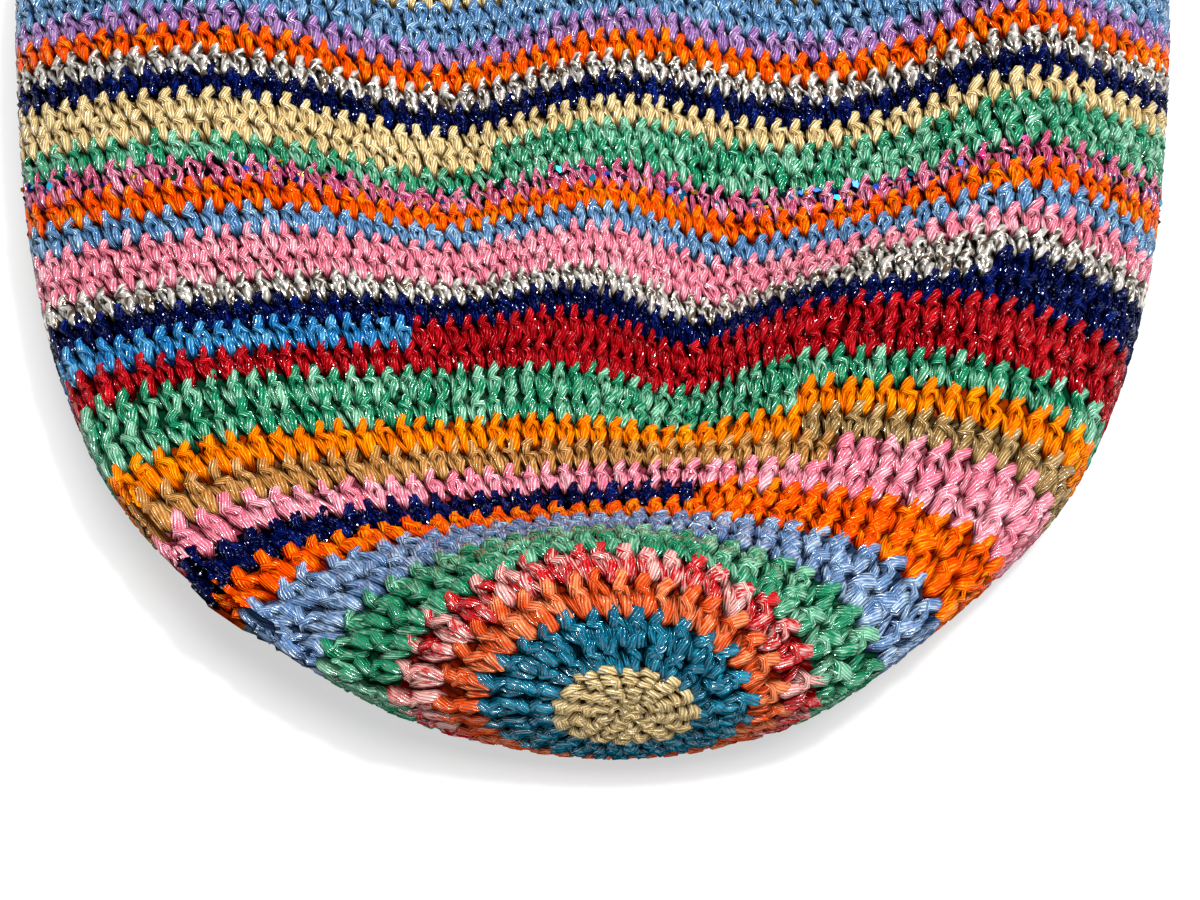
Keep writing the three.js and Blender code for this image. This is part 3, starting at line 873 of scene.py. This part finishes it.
def handle_surface(line, sewn_along):
    """The handle's outer surface: an oval tube that is pressed flat where it is sewn on."""
    run = np.concatenate([[0], np.cumsum(np.linalg.norm(np.diff(line, axis=0), axis=1))])
    length = run[-1]
    rounds = round(length / HANDLE_ROUND)
    rows = np.linspace(-1, rounds + 1, 2 * (rounds + 2) + 1)
    angles = 2 * math.pi * np.arange(HANDLE_COLUMNS) / HANDLE_COLUMNS
    point = lambda distance: np.array([np.interp(distance, run, line[:, k]) for k in range(3)])
    grid = []
    for row in rows:
        share = np.clip(row / rounds, 0, 1)
        tangent = point(share * length + 1) - point(share * length - 1)
        tangent /= np.linalg.norm(tangent)
        place = point(share * length) + tangent * (row - share * rounds) * HANDLE_ROUND
        opened = smooth_step(0, HANDLE_FLATTENED_LENGTH, min(share, 1 - share) * length)
        sewn = sewn_along[0] if share < 0.5 else -sewn_along[1]
        across = np.cross(tangent, (0, 0, 1))
        across = across / np.linalg.norm(across) * opened + sewn * (1 - opened)
        across -= tangent * across.dot(tangent)
        across /= np.linalg.norm(across)
        over = np.cross(across, tangent)
        half_width = mix((HANDLE_END_WIDTH, HANDLE_WIDTH), opened) / 2
        half_thickness = mix((WALL, HANDLE_THICKNESS), opened) / 2
        middle = place + over * half_thickness
        wide = np.cos(angles)[:, None] * across * half_width
        grid.append(middle + wide + np.sin(angles)[:, None] * over * half_thickness)
    grid = np.array(grid)
    surface = Surface(grid, rows)
    outward = grid - grid.mean(1, keepdims=True)
    if (surface.normals * outward).sum() < 0:
        surface = Surface(grid[:, ::-1], rows)
    return surface, rounds


def handle_core(name, surface, rounds):
    """A plain closed tube inside the handle's stitches, marked deep so that it is painted dark as shade."""
    rows = np.linspace(CORE_INSET, rounds - CORE_INSET, rounds + 1)
    turns = np.arange(CORE_SIDES) / CORE_SIDES
    places, normals = surface.at(np.tile(turns, (len(rows), 1)), np.repeat(rows[:, None], CORE_SIDES, 1))
    thickness = np.linalg.norm(places[:, CORE_SIDES // 4] - places[:, 3 * CORE_SIDES // 4], axis=1)
    rings = places - normals * np.minimum(CORE_DEPTH, CORE_SHARE * thickness)[:, None, None]
    points = np.concatenate([rings.reshape(-1, 3), rings[[0, -1]].mean(1)])
    count, top = len(points), len(rows) - 1
    corner = lambda r, k: r * CORE_SIDES + k % CORE_SIDES
    faces = []
    for k in range(CORE_SIDES):
        for r in range(top):
            a, b, c, d = corner(r, k), corner(r + 1, k), corner(r + 1, k + 1), corner(r, k + 1)
            faces += [(a, b, c), (a, c, d)]
        faces.append((count - 2, corner(0, k), corner(0, k + 1)))
        faces.append((count - 1, corner(top, k + 1), corner(top, k)))
    uv = np.stack([np.arange(count) % CORE_SIDES, np.arange(count) // CORE_SIDES * HANDLE_ROUND], -1)
    marks = np.stack([np.full(count, CORE_SHADE), np.full(count, CORE_MARK)], -1)
    return mesh_object(name, (points, np.array(faces), uv, marks), [materials[HANDLE_COLOUR]])


def make_handle(node, line, sewn_along):
    """A handle's stitches and its core, in place of its CAD node."""
    surface, rounds = handle_surface(line, sewn_along)
    turn, row = np.meshgrid(np.arange(HANDLE_STITCHES), np.arange(rounds))
    turn = ((turn + 0.5 * (row % 2) + LEAN * row) / HANDLE_STITCHES).ravel()
    count = len(turn)
    size = HANDLE_YARN * (1 + random.normal(0, SIZE_VARIATION, count))
    shade = random.random(count)
    args = turn, row.ravel().astype(float), np.full(count, 1 / HANDLE_STITCHES), size
    parts = [strand_mesh(surface, *args, strand, sides, shade) for strand, sides in HANDLE_STITCH]
    # Sewing stitches hold each end to the rim
    turn = np.tile(np.arange(SEWING) / SEWING, 2)
    row = np.repeat([0.0, float(rounds)], SEWING)
    above = surface.at(turn, row)[1][:, 2] > ABOVE_FLOOR
    turn, row = turn[above], row[above]
    count = len(turn)
    args = turn, row, np.full(count, 1 / HANDLE_STITCHES), np.ones(count)
    parts.append(strand_mesh(surface, *args, SEWN, SEWN_SIDES, random.random(count)))
    made = mesh_object(f"{node}_stitches", join(parts), [materials[HANDLE_COLOUR]])
    core = handle_core(f"{node}_core", surface, rounds)
    for piece in (made, core):
        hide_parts(node)


flat_along = np.array([1.0, 0, 0])
back_line = handle_line(BACK_HANDLE_KNEE, BACK_HANDLE_REACH, (0, 0), 0, 0)
make_handle("back_handle", back_line, (flat_along, flat_along))
right_z, right_along = front_rim(HANDLE_SPREAD / 2)
left_z, left_along = front_rim(-HANDLE_SPREAD / 2)
rest_z = HANDLE_THICKNESS + SEAM_CLEARANCE
ends_z = right_z - WALL, left_z - WALL
front_line = handle_line(FRONT_HANDLE_KNEE, FRONT_HANDLE_REACH, ends_z, rest_z + HANDLE_SETTLE, rest_z)
make_handle("front_handle", front_line, (right_along, left_along))

# Floor, light and camera, in metres
FLOOR_HALF = 30.0
FLOOR_GREY = (0.34, 0.34, 0.34, 1)
FLOOR_ROUGHNESS, FLOOR_SPECULAR = 0.9, 0.1
FLOOR_GLOW = 0.53
WHITE = (1, 1, 1, 1)
# Direction, angle and strength of the sun, then place, size and power of each lamp
KEY_SUN = (0.17, -0.06, 1.0), 0.45, 3.2
LAMPS = {
    "sparkle": ((0.3, -0.12, 1.2), 0.12, 11.0),
    "front": ((0.1, -1.0, 0.9), 0.12, 4.0),
    "back": ((0.2, 0.85, 0.95), 0.16, 4.5),
}
WORLD_STRENGTH = 0.08
# The camera looks along +Y and down, at the place that the photograph's middle shows
ELEVATION = math.radians(60)
DISTANCE = 0.528
AIM = Vector((0.0019, -0.099, 0.066))
SENSOR_WIDTH, LENS = 36, 72


def add(name, data):
    """Puts an object into the scene."""
    made = bpy.data.objects.new(name, data)
    bpy.context.scene.collection.objects.link(made)
    return made


def floor():
    """A pale floor that keeps the shadow, and is white to the camera and in reflections."""
    half = FLOOR_HALF
    mesh = bpy.data.meshes.new("floor")
    corners = [(-half, -half, 0), (half, -half, 0), (half, half, 0), (-half, half, 0)]
    mesh.from_pydata(corners, [], [(0, 1, 2, 3)])
    n = Nodes("floor")
    inputs = n.shader.inputs
    inputs["Base Color"].default_value = FLOOR_GREY
    inputs["Roughness"].default_value = FLOOR_ROUGHNESS
    inputs["Specular IOR Level"].default_value = FLOOR_SPECULAR
    inputs["Emission Color"].default_value = WHITE
    path = n.make("ShaderNodeLightPath").outputs
    seen = n.math("ADD", path["Is Camera Ray"], path["Is Glossy Ray"])
    seen = n.math("ADD", seen, path["Is Transmission Ray"])
    n.link(n.math("MULTIPLY", seen, FLOOR_GLOW), inputs["Emission Strength"])
    mesh.materials.append(n.material)
    add("floor", mesh)


def lamp(name, place, size, power):
    """A round lamp that points at the origin."""
    data = bpy.data.lights.new(name, "AREA")
    data.shape = "DISK"
    data.size = size
    data.energy = power
    made = add(name, data)
    made.location = place
    made.rotation_euler = (-Vector(place)).to_track_quat("-Z", "Y").to_euler()


def sun(name, toward, angle, strength):
    data = bpy.data.lights.new(name, "SUN")
    data.angle = angle
    data.energy = strength
    add(name, data).rotation_euler = Vector(toward).to_track_quat("Z", "Y").to_euler()


floor()
sun("key", *KEY_SUN)
for name, (place, size, power) in LAMPS.items():
    lamp(name, place, size, power)
world = bpy.data.worlds.new("studio")
world.use_nodes = True
background = world.node_tree.nodes["Background"].inputs
background[0].default_value = WHITE
background[1].default_value = WORLD_STRENGTH
bpy.context.scene.world = world
bpy.context.scene.view_settings.view_transform = "Standard"

camera_data = bpy.data.cameras.new("camera")
camera_data.sensor_width = SENSOR_WIDTH
camera_data.lens = LENS
camera = add("camera", camera_data)
look = Vector((0, math.cos(ELEVATION), -math.sin(ELEVATION)))
camera.location = AIM - look * DISTANCE
camera.rotation_euler = look.to_track_quat("-Z", "Y").to_euler()
bpy.context.scene.camera = camera
